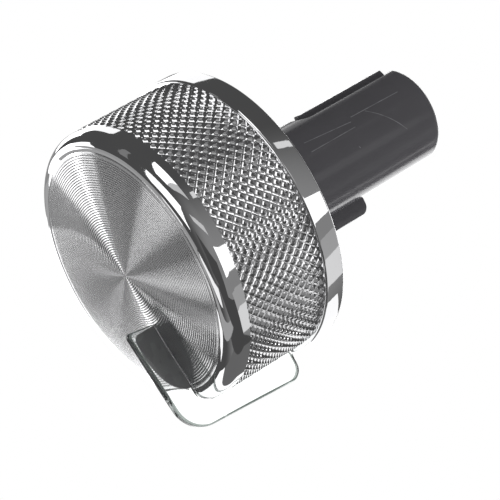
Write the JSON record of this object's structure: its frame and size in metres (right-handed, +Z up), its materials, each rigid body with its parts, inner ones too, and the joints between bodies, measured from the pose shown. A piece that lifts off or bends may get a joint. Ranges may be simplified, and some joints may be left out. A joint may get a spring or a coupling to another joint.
{
  "type": "steam knob",
  "caption": "Round chromed valve knob with a diamond-knurled grip, a turned metal face, a clear pointer hooked over its edge and a black keyed stem that pushes on to a spindle.",
  "frame": {"origin": "centre of the spindle bore at the end of the stem", "axes": "+Y along the knob's axis, out of the bore's mouth and away from the face; +Z up; the pointer stands 47 degrees below +X, as in the picture"},
  "size_m": [0.0464, 0.0636, 0.0464],
  "materials": {
    "chrome_plate": "bright chrome plate on a moulding",
    "turned_aluminium": "fine concentric turning marks",
    "clear_acrylic": "polished clear plastic",
    "black_moulding": "satin black plastic with light scuffs",
    "spring_steel": "plain spring strip"
  },
  "bodies": {
    "root": {"knob_shell": "chrome_plate", "face_disc": "turned_aluminium", "pointer": "clear_acrylic", "stem": "black_moulding", "spindle_clip": "spring_steel"}
  },
  "joints": []
}
